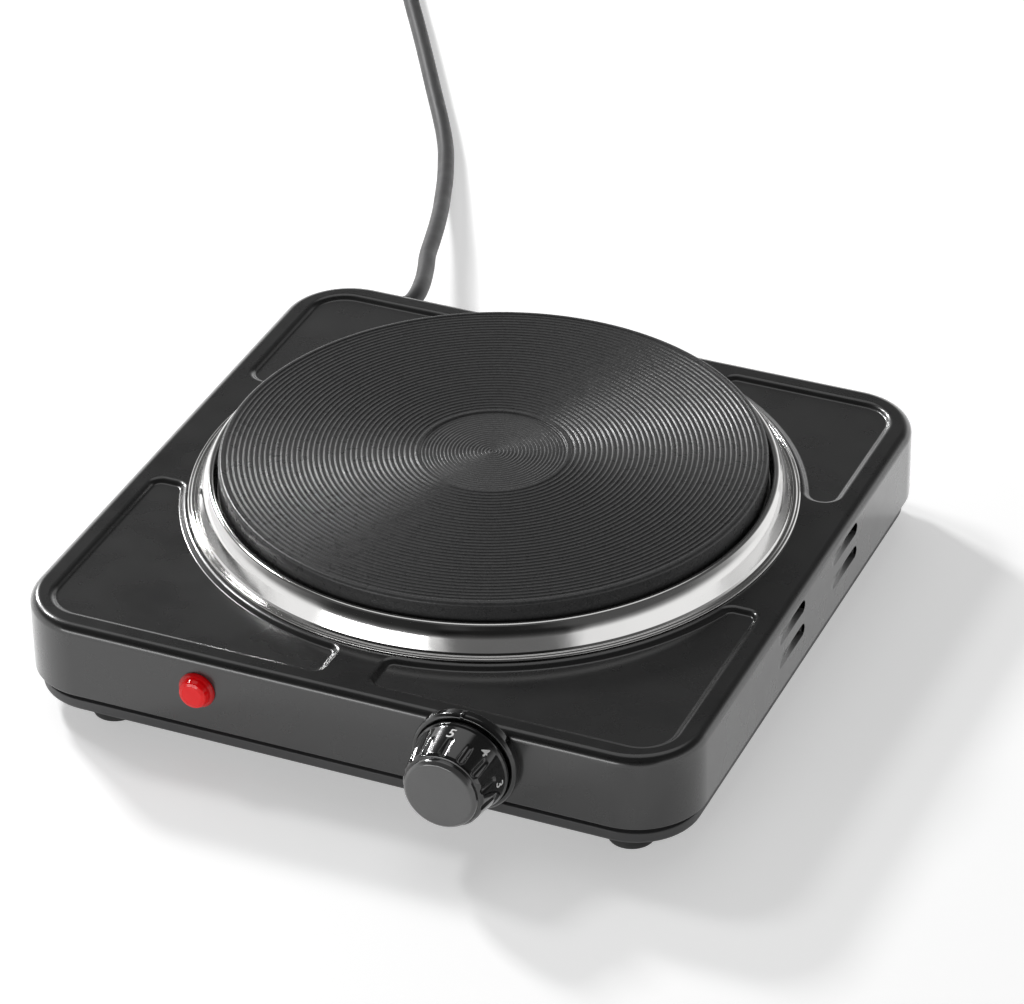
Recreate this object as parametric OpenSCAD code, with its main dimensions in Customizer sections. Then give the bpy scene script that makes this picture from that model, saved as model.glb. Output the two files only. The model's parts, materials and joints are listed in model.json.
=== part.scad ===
// Single electric hot plate: cast-iron plate in a steel housing, with thermostat, pilot lamp and mains lead.
// Millimetres. +X right, +Y to the back, +Z up. Origin on the table under the middle of the housing.

/* [Housing] */
// Width of the steel housing
housing_w = 236; // [232:1:244]
// Depth of the steel housing
housing_d = 236; // [234:1:244]
// Height of the housing's lower edge above the table
shell_bottom = 13.4; // [13:0.2:15]
// Height of the housing's top above the table
shell_top = 40.4; // [40.4:0.2:44]
// Radius of the housing's vertical corners
corner_r = 24; // [20:1:28]
// Radius of the housing's top edge
edge_r = 3.4; // [2.5:0.1:4]
// Thickness of the housing's sheet steel
sheet = 1.0; // [0.8:0.1:1.2]
// Depth of the four pressed panels in the top
panel_depth = 1.5; // [1.2:0.1:2]
// Distance from the housing's sides to the panels
panel_inset = 8.0; // [7.5:0.1:12]
// Radius of a panel's outer corner
panel_r = 13; // [11:0.5:14]
// How far the base tray sits inside the housing's outline
base_inset = 2.4; // [2:0.1:3]
// Height of the feet, which is the ground clearance of the base
foot_h = 6; // [5:0.5:7]
// Radius of a foot
foot_r = 8; // [7:0.5:9]

/* [Cooking plate] */
// Radius of the cast-iron plate
plate_r = 92.5; // [92:0.1:93]
// Distance of the plate's centre behind the housing's centre
plate_y = 10; // [9:0.5:11]
// Height of the plate's top above the housing's top
plate_rise = 15.4; // [14:0.2:16]
// Distance between the turned grooves in the plate
groove_pitch = 1.8; // [1.8:0.1:2.4]
// Depth of the turned grooves
groove_depth = 0.4; // [0.3:0.05:0.6]
// Radius of the plain disc in the plate's middle
centre_r = 25; // [24:0.5:27]
// Outer radius of the stainless trim ring
ring_r = 103; // [102.5:0.1:103.5]

/* [Controls] */
// Sideways place of the knob's axis
knob_x = 46.5; // [44:0.5:50]
// Height of the knob's axis
knob_z = 27.5; // [26.5:0.5:28]
// How far the knob stands out in front of the housing
knob_reach = 22.6; // [22:0.1:23]
// Outer radius of the collar behind the knob
bezel_r = 18; // [17.8:0.1:18.6]
// Sideways place of the pilot lamp
lamp_x = -48.4; // [-52:0.2:-44]
// Height of the pilot lamp
lamp_z = 28; // [26:0.5:28]
// Radius of the control shaft
shaft_r = 3; // [3:0.1:3.2]

/* [Mains lead] */
// Diameter of the mains lead
cord_d = 6.5; // [6:0.1:7]
// Sideways place where the lead leaves the back
cord_x = -92; // [-94:0.5:-90]
// Height where the lead leaves the back
cord_z = 20.5; // [20:0.5:21]
// Mean radius of the stored coil
coil_r = 36; // [34:1:38]

/* [Hidden] */
$fn = 64;
fine = 128;
front = -housing_d / 2;
back = housing_d / 2;
side = housing_w / 2;
wall_in = side - sheet;
roof = shell_top - sheet;
floor_z = foot_h + sheet;
plate_top = shell_top + plate_rise;

// Plate assembly heights, from the casting down to the heat shield
ledge_z = shell_top + 3.6;
casting_bottom = shell_top + 1.4;
cover_t = 0.8;
spigot_r = plate_r - 2.5;
hole_r = 96;
stud_r = 2.95;
stud_hole_r = 3;
bridge_t = 2;
bridge_bottom = roof - bridge_t;
washer_t = 1;
nut_t = 5;
nut_r = 5.8;
shield_t = 0.8;
shield_top = bridge_bottom - washer_t - nut_t;
shield_bottom = shield_top - shield_t;
coil_ring_radii = [34, 52, 70];
channel_half = 4;
channel_depth = 8;
wire_coil_r = 2.2;
coil_z = casting_bottom + 4.2;

// Base fixings
boss_x = 104;
boss_y = 72;
boss_r = 6;
boss_top = 20.9;
bracket_t = 1.2;
foot_spots = [[-87, -103], [96, -103], [-92, 103], [92, 103]];

// Thermostat, measured backwards from the housing's front
stack_dx = -16;
stack_parts = [25.0, 21.8, 21.2, 17.4, 17.0, 13.6, 13.0, 11.0];
leaf_half = 4;
hinge_dx = -10;
bezel_peg = 16.4;

// Mains lead: from the end of the strain relief to the coil, laid along the table
bush_reach = knob_reach;
bush_end = back + bush_reach;
clamp_y = 88;
sheath_end = 81;
terminal_y = 48;
terminal_pitch = 9;
wire_r = 1.3;
cord_route = [
    [-92, 140.6, 20.5], [-92, 148, 20.5], [-94.8, 160, 19.1], [-99.5, 173.5, 16.9], [-104.8, 187, 14.7],
    [-109.4, 201.5, 12.6], [-114, 216, 10.7], [-119, 230.5, 8.8], [-124.3, 244.5, 7], [-129.5, 258, 5.6],
    [-135, 271, 4.5], [-140.8, 284, 3.7], [-147, 296, 3.3], [-153.5, 307.5, 3.25], [-166.5, 329.5, 3.25],
    [-180, 352.5, 3.25], [-194, 376, 3.25], [-208, 399, 3.25], [-221.5, 421.5, 3.25], [-234, 442.5, 3.25],
    [-244, 462.5, 3.25]
];
coil_spot = [-208, 478];
coil_height = 12.2;
tail_route = [
    [-222.2, 511.1, 8.9], [-208, 517.2, 9.6], [-195, 522.8, 11.6], [-184, 527.6, 14.4],
    [-174, 531.9, 17], [-164, 536.2, 18.5], [-157, 539.2, 18.6], [-152, 541.4, 18.6]
];
plug_r = 18.5;
plug_len = 46;
plug_turn = atan2(2.2, 5);
pin_r = 2.4;
pin_len = 19;

// ---- helpers ----
function unit(v) = v / norm(v);
function tangents(p) = [
    for (i = [0:len(p) - 1]) unit(p[min(i + 1, len(p) - 1)] - p[max(i - 1, 0)])
];
function carried(t, n, i = 0) =
    i >= len(t) ? [] : let (m = unit(n - (n * t[i]) * t[i])) concat([m], carried(t, m, i + 1));
function spline(a, b, c, d, u) =
    0.5 * (2 * b + (c - a) * u + (2 * a - 5 * b + 4 * c - d) * u * u + (3 * b - a - 3 * c + d) * u * u * u);
function smooth(p, steps) = concat(
    [for (i = [0:len(p) - 2], s = [0:steps - 1])
        spline(p[max(i - 1, 0)], p[i], p[i + 1], p[min(i + 2, len(p) - 1)], s / steps)],
    [p[len(p) - 1]]
);

// Tube of one diameter swept along a list of points
module tube(p, r, sides = 8, up = [0, 0, 1]) {
    t = tangents(p);
    n = carried(t, up);
    rings = len(p);
    pts = [for (i = [0:rings - 1], k = [0:sides - 1])
        let (a = 360 * k / sides) p[i] + r * (cos(a) * n[i] + sin(a) * cross(t[i], n[i]))];
    walls = [for (i = [0:rings - 2], k = [0:sides - 1])
        let (m = (k + 1) % sides) [i * sides + k, (i + 1) * sides + k, (i + 1) * sides + m, i * sides + m]];
    near_end = [[for (k = [0:sides - 1]) k]];
    far_end = [[for (k = [sides - 1:-1:0]) (rings - 1) * sides + k]];
    polyhedron(points = pts, faces = concat(walls, near_end, far_end), convexity = 6);
}

// Places children on an axis square to the front: local z counts outwards from the front sheet
module on_front(x, z) {
    translate([x, front, z]) rotate([90, 0, 0]) children();
}

module rod(r, z0, z1) {
    translate([0, 0, z0]) cylinder(r = r, h = z1 - z0);
}

module ring(r_out, r_in, z0, z1) {
    difference() {
        rod(r_out, z0, z1);
        rod(r_in, z0 - 1, z1 + 1);
    }
}

module block(x0, x1, y0, y1, z0, z1) {
    translate([x0, y0, z0]) cube([x1 - x0, y1 - y0, z1 - z0]);
}

module rounded_square(w, d, r) {
    square([w - 2 * r, d], center = true);
    square([w, d - 2 * r], center = true);
    for (sx = [-1, 1], sy = [-1, 1]) translate([sx * (w / 2 - r), sy * (d / 2 - r)]) circle(r = r);
}

// Square block with round vertical corners and a round top edge
module pressed_block(w, d, z0, z1, r, top_r) {
    arc = [for (a = [0:22.5:90]) [r - top_r + top_r * cos(a), z1 - top_r + top_r * sin(a)]];
    hull()
    for (sx = [-1, 1], sy = [-1, 1]) translate([sx * (w / 2 - r), sy * (d / 2 - r), 0])
        rotate_extrude($fn = 40) polygon(concat([[0, z0], [r, z0]], arc, [[0, z1]]));
}

// Outline of the four pressed panels, whose ends beside the plate are rounder at the back
module panel_outline(grow) {
    end_y = 65;
    intersection() {
        round_panels(4, grow);
        union() {
            translate([-side, front]) square([housing_w, side]);
            translate([-side, end_y]) square([housing_w, side]);
        }
    }
    intersection() {
        round_panels(6.4, grow);
        translate([-side, 0]) square([housing_w, end_y]);
    }
}

module round_panels(round_r, grow) {
    offset(r = round_r + grow, $fn = 32) offset(delta = -round_r)
    difference() {
        square([housing_w - 2 * panel_inset, housing_d - 2 * panel_inset], center = true);
        translate([0, plate_y]) circle(r = ring_r + 1.2, $fn = 120);
        translate([-8, front]) square([16, 60]);
        translate([-side, -25.5]) square([housing_w, 69.5]);
        for (sx = [-1, 1], sy = [-1, 1])
            translate([sx * (side - panel_inset), sy * (back - panel_inset)]) corner_cut(sx, sy);
    }
}

// What is taken off a panel's outer corner to round it
module corner_cut(sx, sy) {
    difference() {
        translate([-sx * panel_r / 2, -sy * panel_r / 2]) square(panel_r + 0.01, center = true);
        translate([-sx * panel_r, -sy * panel_r]) circle(r = panel_r, $fn = 48);
    }
}

// ---- housing ----
module louvre(sx, y, z) {
    slot_l = 25;
    slot_h = 3.6;
    cut = 2 * sheet + 0.2;
    for (dy = [-1, 1]) translate([sx * side, y + dy * (slot_l - slot_h) / 2, z]) rotate([0, 90, 0])
        cylinder(d = slot_h, h = cut, center = true);
    translate([sx * side, y, z]) cube([cut, slot_l - slot_h, slot_h], center = true);
}

// Blade pressed inwards from the slot's lower edge
module louvre_blade(sx, y, z) {
    translate([sx * (wall_in - 1.3), y, z + 0.1]) rotate([0, -sx * 35, 0]) cube([1, 23, 6], center = true);
}

module top_cover() color([0.09, 0.09, 0.1]) {
    difference() {
        pressed_block(housing_w, housing_d, shell_bottom, shell_top, corner_r, edge_r);
        difference() {
            pressed_block(housing_w - 2 * sheet, housing_d - 2 * sheet, shell_bottom - 5, roof,
                corner_r - sheet, edge_r - sheet);
            translate([0, 0, roof - panel_depth]) linear_extrude(panel_depth + 1) panel_outline(sheet);
            for (sx = [-1, 1], y = [31, -19], z = [25, 34.4]) louvre_blade(sx, y, z);
        }
        translate([0, 0, shell_top - panel_depth]) linear_extrude(5) panel_outline(0);
        translate([0, plate_y, 0]) rod(hole_r, roof - 1, shell_top + 1);
        for (sx = [-1, 1], y = [31, -19], z = [25, 34.4]) louvre(sx, y, z);
        on_front(knob_x, knob_z) rod(4.1, -3, 3);
        for (dx = [-9, 9]) on_front(knob_x + dx, knob_z) rod(1.6, -3, 3);
        for (dx = [-bezel_peg, bezel_peg]) on_front(knob_x + dx, knob_z) rod(1.35, -3, 3);
        on_front(lamp_x, lamp_z) rod(4.8, -3, 3);
        translate([cord_x, back - 4, cord_z]) rotate([-90, 0, 0]) rod(5.2, 0, 8);
    }
}

module shell_brackets() color([0.6, 0.6, 0.62]) {
    for (sx = [-1, 1], sy = [-1, 1]) difference() {
        union() {
            translate([sx * (wall_in - bracket_t / 2), sy * boss_y, boss_top + 0.1 + 4])
                cube([bracket_t, 16, 8], center = true);
            translate([sx * (wall_in - 10), sy * boss_y, boss_top + 0.1 + bracket_t / 2])
                cube([20, 16, bracket_t], center = true);
        }
        translate([sx * boss_x, sy * boss_y, 0]) rod(1.95, 0, 40);
    }
}

module base_outline(inset) {
    rounded_square(housing_w - 2 * inset, housing_d - 2 * inset, corner_r - inset);
}

module base_tray() color([0.1, 0.1, 0.11]) {
    difference() {
        union() {
            difference() {
                translate([0, 0, foot_h]) linear_extrude(14) base_outline(base_inset);
                translate([0, 0, floor_z]) linear_extrude(20) base_outline(base_inset + sheet);
            }
            for (sx = [-1, 1], sy = [-1, 1]) translate([sx * boss_x, sy * boss_y, 0])
                rod(boss_r, foot_h, boss_top);
        }
        for (sx = [-1, 1], sy = [-1, 1]) translate([sx * boss_x, sy * boss_y, 0]) {
            rod(boss_r - sheet, foot_h - 1, boss_top - 2);
            rod(2.1, foot_h, boss_top + 1);
        }
        for (p = foot_spots) translate([p[0], p[1], 0]) rod(4, 0, 12);
        for (x = [-60:15:60], y = [-40, 50])
            translate([x, y, foot_h - 1]) linear_extrude(4) rounded_square(4, 36, 1.9);
        for (sx = [-1, 1], sy = [-1, 1])
            translate([sx * 101 - 0.3, sy * (back - base_inset - 0.5) - 2, foot_h + 2]) cube([0.6, 4, 20]);
        translate([62, 88, 0]) rod(2, 0, 12);
        for (dx = [-8, 8]) translate([cord_x + dx, clamp_y, 0]) rod(1.6, 0, 12);
        block(cord_x - 8, cord_x + 8, back - 6, back, cord_z - 8, 30);
    }
}

module base_screws() color([0.7, 0.7, 0.72]) {
    for (sx = [-1, 1], sy = [-1, 1]) translate([sx * boss_x, sy * boss_y, 0]) difference() {
        union() {
            rod(1.9, boss_top - 3, boss_top + 4);
            rod(3.8, boss_top - 4.6, boss_top - 2);
        }
        translate([0, 0, boss_top - 4.6]) cube([4, 0.9, 1.6], center = true);
        translate([0, 0, boss_top - 4.6]) cube([0.9, 4, 1.6], center = true);
    }
}

// Rubber foot: tread, neck through the tray and a barb above it
module foot(i) color([0.07, 0.07, 0.07]) {
    translate([foot_spots[i][0], foot_spots[i][1], 0]) rotate_extrude() polygon([
        [0, 0], [foot_r - 1.4, 0], [foot_r - 0.4, 0.6], [foot_r, 1.6], [foot_r, foot_h],
        [3.9, foot_h], [3.9, floor_z], [4.8, floor_z], [3.4, floor_z + 3], [0, floor_z + 3]
    ]);
}

module foot_front_left() foot(0);
module foot_front_right() foot(1);
module foot_rear_left() foot(2);
module foot_rear_right() foot(3);

module rating_label() color([0.75, 0.75, 0.77]) {
    block(-25, 25, 76, 106, foot_h - 0.3, foot_h);
}

// ---- plate assembly ----
// Section of a bent sheet: the outer face as given, the inner face a sheet thickness away
function face_normals(p) = [
    for (t = tangents(p)) [t[1], -t[0]]
];
function sheet_section(p, t) = let (n = face_normals(p)) concat(
    p, [for (i = [len(p) - 1:-1:0]) p[i] - t * n[i]]
);

module trim_ring() color([0.85, 0.85, 0.86]) {
    h = shell_top;
    skin = [
        [ring_r, h], [ring_r + 0.2, h + 0.7], [ring_r - 0.2, h + 1.3], [ring_r - 0.9, h + 1.5],
        [ring_r - 1.7, h + 1.3], [ring_r - 2.6, h + 1.4], [ring_r - 3.4, h + 1.7], [ring_r - 4.1, h + 2.4],
        [ring_r - 4.8, h + 3.6], [ring_r - 5.5, h + 5.2], [ring_r - 6.2, h + 7], [ring_r - 6.8, h + 8.4],
        [ring_r - 7.4, h + 9.3], [ring_r - 8.1, h + 9.7], [ring_r - 8.8, h + 9.3], [ring_r - 9.1, h + 8.4],
        [ring_r - 9.2, h + 5.6], [ring_r - 9.5, h + 4.1], [ring_r - 10.3, h + 3.55], [ring_r - 12.7, h + 3.5]
    ];
    translate([0, plate_y, 0]) rotate_extrude($fn = fine) polygon(sheet_section(skin, 0.6));
}

module cooking_plate() color([0.2, 0.2, 0.21]) {
    grooves = floor((plate_r - 4 - centre_r - groove_pitch) / groove_pitch);
    groove_w = groove_pitch * 0.22;
    turned = [for (i = [0:grooves], s = [-1:1])
        let (r = centre_r + 1.4 + i * groove_pitch)
        [r + s * groove_w, plate_top - (s == 0 ? groove_depth : 0)]];
    edge = [
        [plate_r - 2, plate_top], [plate_r - 1.2, plate_top - 0.18], [plate_r - 0.55, plate_top - 0.6],
        [plate_r - 0.15, plate_top - 1.3], [plate_r, plate_top - 2.2], [plate_r - 0.1, ledge_z + 0.1],
        [spigot_r, ledge_z + 0.1], [spigot_r - 0.3, casting_bottom]
    ];
    channels = [for (i = [len(coil_ring_radii) - 1:-1:0], k = [0:3])
        let (r = coil_ring_radii[i])
        [r + (k < 2 ? channel_half : -channel_half),
            casting_bottom + ((k == 0 || k == 3) ? 0 : channel_depth)]];
    boss = [
        [11, casting_bottom], [9, casting_bottom - 1.4], [stud_hole_r, casting_bottom - 1.4],
        [stud_hole_r, casting_bottom + 7], [0, casting_bottom + 7], [0, plate_top - 0.5],
        [centre_r - 0.4, plate_top - 0.5]
    ];
    translate([0, plate_y, 0]) rotate_extrude($fn = fine)
        polygon(concat([[centre_r, plate_top]], turned, edge, channels, boss));
}

module heating_coils() color([0.75, 0.6, 0.4]) {
    for (r = coil_ring_radii) translate([0, plate_y, coil_z])
        rotate_extrude($fn = fine) translate([r, 0]) circle(r = wire_coil_r, $fn = 32);
}

module coil_insulation() color([0.9, 0.89, 0.84]) {
    for (r = coil_ring_radii) translate([0, plate_y, 0]) rotate_extrude($fn = fine) difference() {
        translate([r - channel_half + 0.05, casting_bottom + 0.4])
            square([2 * channel_half - 0.1, channel_depth - 0.45]);
        translate([r, coil_z]) circle(r = wire_coil_r + 0.02, $fn = 32);
    }
}

module plate_cover() color([0.72, 0.72, 0.74]) {
    translate([0, plate_y, 0]) difference() {
        rod(84, casting_bottom - cover_t, casting_bottom);
        rod(11.4, casting_bottom - 4, casting_bottom + 4);
    }
}

module centre_stud() color([0.7, 0.7, 0.72]) {
    translate([0, plate_y, 0]) rod(stud_r, shield_bottom - nut_t - 3, casting_bottom + 6.5);
}

module clamping_bridge() color([0.62, 0.62, 0.64]) {
    difference() {
        block(-103, 103, plate_y - 8, plate_y + 8, bridge_bottom, roof);
        translate([0, plate_y, 0]) rod(3.2, 0, 60);
    }
}

module stud_washer() color([0.7, 0.7, 0.72]) {
    translate([0, plate_y, 0]) ring(8, 3.2, bridge_bottom - washer_t, bridge_bottom);
}

module hex_nut(z_top) {
    translate([0, plate_y, 0]) difference() {
        translate([0, 0, z_top - nut_t]) cylinder(r = nut_r, h = nut_t, $fn = 6);
        rod(stud_hole_r, z_top - nut_t - 1, z_top + 1);
    }
}

module stud_nut() color([0.75, 0.75, 0.77]) {
    hex_nut(bridge_bottom - washer_t);
}

module heat_shield() color([0.82, 0.82, 0.84]) {
    translate([0, plate_y, 0]) {
        ring(76, 3.2, shield_bottom, shield_top);
        ring(76, 75.2, shield_top, shield_top + 3);
    }
}

module shield_nut() color([0.75, 0.75, 0.77]) {
    hex_nut(shield_bottom);
}

// Ceramic block under the plate's front edge, clear of the shield
module plate_terminal() color([0.92, 0.91, 0.87]) {
    top = casting_bottom - cover_t;
    difference() {
        block(-14, 14, -73, -67.4, top - 8, top);
        for (x = [-8, 8]) translate([x, -70.2, 0]) rod(1.5, top - 9, top + 1);
    }
}

module plate_tabs() color([0.78, 0.7, 0.5]) {
    top = casting_bottom - cover_t;
    for (x = [-8, 8]) {
        translate([x, -70.2, 0]) rod(1.45, top - 9.5, top);
        block(x - 3, x + 3, -78, -68, top - 10.3, top - 9.5);
    }
}

module thermal_cutoff() color([0.2, 0.2, 0.2]) {
    top = casting_bottom - cover_t;
    translate([40, 40, 0]) {
        rod(8, top - 5, top);
        ring(10.5, 8, top - 1, top);
    }
}

// ---- thermostat and knob ----
module thermostat_bracket() color([0.72, 0.72, 0.74]) {
    on_front(knob_x, knob_z) difference() {
        union() {
            translate([-23.4, -6, -2.2]) cube([36.4, 15, 1.2]);
            translate([-23.4, 5, -26.2]) cube([1.2, 4, 25.2]);
            translate([-23.4, -6, -26.2]) cube([15, 15, 1.2]);
        }
        rod(4.1, -5, 0);
        translate([-bezel_peg, 0, 0]) rod(1.6, -5, 0);
        for (dx = [-9, 9]) translate([dx, 0, 0]) rod(1.45, -5, 0);
        translate([stack_dx, 0, 0]) rod(1.65, -30, -20);
    }
}

module thermostat_bushing() color([0.78, 0.66, 0.35]) {
    on_front(knob_x, knob_z) difference() {
        union() {
            rod(4, -2.2, 2);
            rod(5.6, -8.6, -2.2);
        }
        rod(shaft_r + 0.05, -12, 4);
    }
}

module thermostat_screws() color([0.75, 0.75, 0.77]) {
    for (dx = [-9, 9]) on_front(knob_x + dx, knob_z) difference() {
        union() {
            rod(1.4, -5, 0.01);
            rod(2.8, 0, 1.8);
        }
        translate([0, 0, 1.8]) cube([3.6, 0.7, 1.4], center = true);
    }
}

// Four steatite rings; the gaps between them take the clamped strips
module ceramic_spacers() color([0.93, 0.92, 0.88]) {
    on_front(knob_x + stack_dx, knob_z)
    for (i = [0:2:6]) ring(5, 1.7, -stack_parts[i], -stack_parts[i + 1]);
}

module stack_rivet() color([0.75, 0.75, 0.77]) {
    on_front(knob_x + stack_dx, knob_z) {
        rod(1.6, -27.4, -9.6);
        rod(2.8, -27.4, -26.2);
        rod(2.8, -11, -9.6);
    }
}

// Flat strip through the stack towards the knob's axis, between two depths, with a tail for its wire
module strip(depth_in, depth_out, x_end) {
    tail = 9;
    on_front(knob_x, knob_z) difference() {
        translate([stack_dx - tail, -leaf_half, -depth_in])
            cube([x_end - stack_dx + tail, 2 * leaf_half, depth_in - depth_out]);
        translate([stack_dx, 0, 0]) rod(1.7, -30, 0);
    }
}

module bimetal_strip() color([0.7, 0.62, 0.5]) {
    strip(stack_parts[1], stack_parts[2], 14);
}

module contact_leaf_root() color([0.8, 0.6, 0.35]) {
    strip(stack_parts[3], stack_parts[4], hinge_dx);
}

module fixed_leaf() color([0.8, 0.6, 0.35]) {
    difference() {
        strip(stack_parts[5], stack_parts[6], 12);
        on_front(knob_x, knob_z) rod(2.6, -30, 0);
    }
}

module fixed_contact() color([0.85, 0.85, 0.86]) {
    on_front(knob_x + 9, knob_z) rod(1.8, -stack_parts[5] - 1.7, -stack_parts[5]);
}

module contact_leaf() color([0.82, 0.62, 0.37]) {
    on_front(knob_x, knob_z)
        translate([hinge_dx + 0.4, -leaf_half + 1, -stack_parts[3]]) cube([22, 2 * leaf_half - 2, 0.4]);
}

module moving_contact() color([0.87, 0.87, 0.88]) {
    on_front(knob_x + 9, knob_z) rod(1.8, -stack_parts[4], -stack_parts[4] + 1.2);
}

module control_shaft() color([0.75, 0.75, 0.77]) {
    on_front(knob_x, knob_z) difference() {
        rod(shaft_r, -12.6, 17);
        translate([-5, 1.6, 7]) cube([10, 5, 12]);
    }
}

module adjuster_pin() color([0.93, 0.92, 0.88]) {
    on_front(knob_x, knob_z) rod(1.4, -16.6, -12.6);
}

module knob() color([0.05, 0.05, 0.05]) {
    flutes = 14;
    on_front(knob_x, knob_z) difference() {
        rotate_extrude($fn = fine) polygon([
            [15, 4.8], [16.1, 4.8], [16.1, 5.6], [15.7, 6.4], [13.7, knob_reach - 3.2], [13.3, knob_reach - 2.6],
            [12.5, knob_reach - 2.5], [12.5, knob_reach - 1.2], [12, knob_reach - 0.4], [11.2, knob_reach],
            [0, knob_reach], [0, 17.2], [shaft_r + 0.05, 17.2], [shaft_r + 0.05, 7.4], [5.4, 7.4], [5.4, 18.8],
            [10.2, 18.8], [10.8, 17.5], [14, 6.8]
        ]);
        for (i = [0:flutes - 1]) rotate([0, 0, i * 360 / flutes])
            translate([0, 14.2, knob_reach - 4.2]) rotate([20, 0, 0]) rod(1.6, -8, 0);
    }
    on_front(knob_x, knob_z) difference() {
        rod(shaft_r + 0.6, 8, 17);
        translate([-5, -5, 7]) cube([10, 6.65, 12]);
    }
}

module knob_clip() color([0.75, 0.75, 0.77]) {
    on_front(knob_x, knob_z) ring(6, 5.42, 8, 13);
}

module knob_bezel() color([0.05, 0.05, 0.05]) {
    on_front(knob_x, knob_z) {
        difference() {
            rotate_extrude($fn = fine) polygon([
                [14.5, 0], [bezel_r, 0], [bezel_r, 2.8], [bezel_r - 0.4, 3.5], [bezel_r - 1, 3.8],
                [bezel_r - 1.5, 3.8], [bezel_r - 1.7, 3.2], [14.5, 2.8]
            ]);
            translate([0, bezel_r, 2]) cube([0.9, 1.4, 5], center = true);
        }
        for (dx = [-bezel_peg, bezel_peg]) translate([dx, 0, 0]) rod(1.3, -1.8, 0.5);
    }
}

// ---- pilot lamp ----
module lamp_lens() color([0.85, 0.08, 0.08]) {
    on_front(lamp_x, lamp_z) rotate_extrude() polygon([
        [3.7, -13], [4.6, -13], [4.6, 0], [6.3, 0], [6.3, 0.9], [5.7, 1.4], [5.3, 1.6], [5.1, 2.8],
        [4.5, 3.8], [3.7, 4.2], [0, 4.3], [0, 3], [3.7, 2.6]
    ]);
}

module lamp_bulb() color([0.95, 0.6, 0.4]) {
    on_front(lamp_x, lamp_z) {
        rod(2.6, -10, 0);
        intersection() {
            sphere(r = 2.6);
            rod(3, 0, 3);
        }
    }
}

module lamp_retainer() color([0.75, 0.75, 0.77]) {
    on_front(lamp_x, lamp_z) ring(8, 4.65, -2, -sheet);
}

// ---- cord entry and wiring ----
module cord_bush() color([0.06, 0.06, 0.06]) {
    bore_r = cord_d / 2 + 0.05;
    translate([cord_x, back, cord_z]) rotate([-90, 0, 0]) difference() {
        rotate_extrude() polygon([
            [bore_r, -4.6], [6.6, -4.6], [6.6, -2], [5.1, -2], [5.1, 0.1], [7.2, 0.1], [7.2, 1.6], [6.6, 2.2],
            [5.4, 2.6], [4.3, bush_reach], [bore_r, bush_reach]
        ]);
        for (z = [6:3.5:17], a = [0, 180]) rotate([0, 0, a + (z % 7 == 6 ? 0 : 90)])
            translate([3.9, -4, z]) cube([4, 8, 1.2]);
    }
}

module cord_entry() color([0.06, 0.06, 0.06]) {
    translate([cord_x, sheath_end, cord_z]) rotate([-90, 0, 0]) rod(cord_d / 2, 0, bush_end - sheath_end);
}

module clamp_half(z0, z1) {
    difference() {
        block(cord_x - 11, cord_x + 11, clamp_y - 4, clamp_y + 4, z0, z1);
        translate([cord_x, clamp_y - 10, cord_z]) rotate([-90, 0, 0]) rod(cord_d / 2 + 0.05, 0, 20);
        for (dx = [-8, 8]) translate([cord_x + dx, clamp_y, 0]) rod(1.6, 0, 40);
    }
}

module clamp_base() color([0.9, 0.9, 0.88]) {
    clamp_half(floor_z, cord_z - 0.4);
}

module cord_clamp() color([0.9, 0.9, 0.88]) {
    clamp_half(cord_z + 0.4, cord_z + 7);
}

module clamp_screws() color([0.75, 0.75, 0.77]) {
    for (dx = [-8, 8]) translate([cord_x + dx, clamp_y, 0]) {
        rod(1.55, foot_h, cord_z + 7);
        rod(2.8, cord_z + 7, cord_z + 8.8);
    }
}

module mains_terminal() color([0.93, 0.93, 0.9]) {
    difference() {
        block(cord_x - 14, cord_x + 14, terminal_y - 8, terminal_y + 8, floor_z, 19);
        for (i = [-1:1]) translate([cord_x + i * terminal_pitch, terminal_y, 0]) {
            translate([0, -10, 13]) rotate([-90, 0, 0]) rod(1.9, 0, 20);
            rod(2.2, 13, 20);
        }
    }
}

module terminal_screws() color([0.75, 0.72, 0.6]) {
    for (i = [-1:1]) translate([cord_x + i * terminal_pitch, terminal_y, 0]) rod(2.1, 15, 18.4);
}

module earth_screw() color([0.78, 0.7, 0.4]) {
    translate([62, 88, 0]) {
        rod(1.95, foot_h - 2, floor_z + 6);
        rod(3.6, foot_h - 2, foot_h);
        rod(4, floor_z + 2, floor_z + 5);
        ring(5, 1.95, floor_z, floor_z + 1);
    }
}

// Core i from the end of the lead's sheath into the terminal block
module core(i) {
    dx = i * terminal_pitch;
    start_z = cord_z + (i == 0 ? 1.6 : -0.9);
    tube(smooth([[cord_x + i * 1.5, sheath_end - 0.5, start_z], [cord_x + i * 3.6, sheath_end - 8, cord_z - 2],
        [cord_x + dx * 0.6, 65, 16], [cord_x + dx, 58, 13], [cord_x + dx, terminal_y + 3, 13]], 3), wire_r);
}

// First two points of a wire that leaves the terminal block at the front
function from_terminal(i) = [
    for (dy = [3, 12]) [cord_x + i * terminal_pitch, terminal_y - dy, 13]
];

module live_wire() color([0.45, 0.25, 0.12]) {
    core(-1);
    tube(smooth(concat(from_terminal(-1), [[-98, 10, 11], [-92, -40, 10], [-60, -84, 10], [-20, -98, 10],
        [0, -105, 12], [10, -105.5, 18], [14.5, -104.9, 25.5],
        [18, -104.7, knob_z - 0.1], [knob_x - 25.1, -104.7, knob_z]]), 4),
        wire_r);
}

module neutral_wire() color([0.15, 0.3, 0.7]) {
    core(0);
    tube(smooth(concat(from_terminal(0), [[-86, 0, 12], [-72, -46, 12], [-36, -78, 14], [-14, -86, 22],
        [-8, -86, 29], [-8, -82, 30.9], [-8, -78.1, 30.9]]), 4), wire_r);
}

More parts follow.
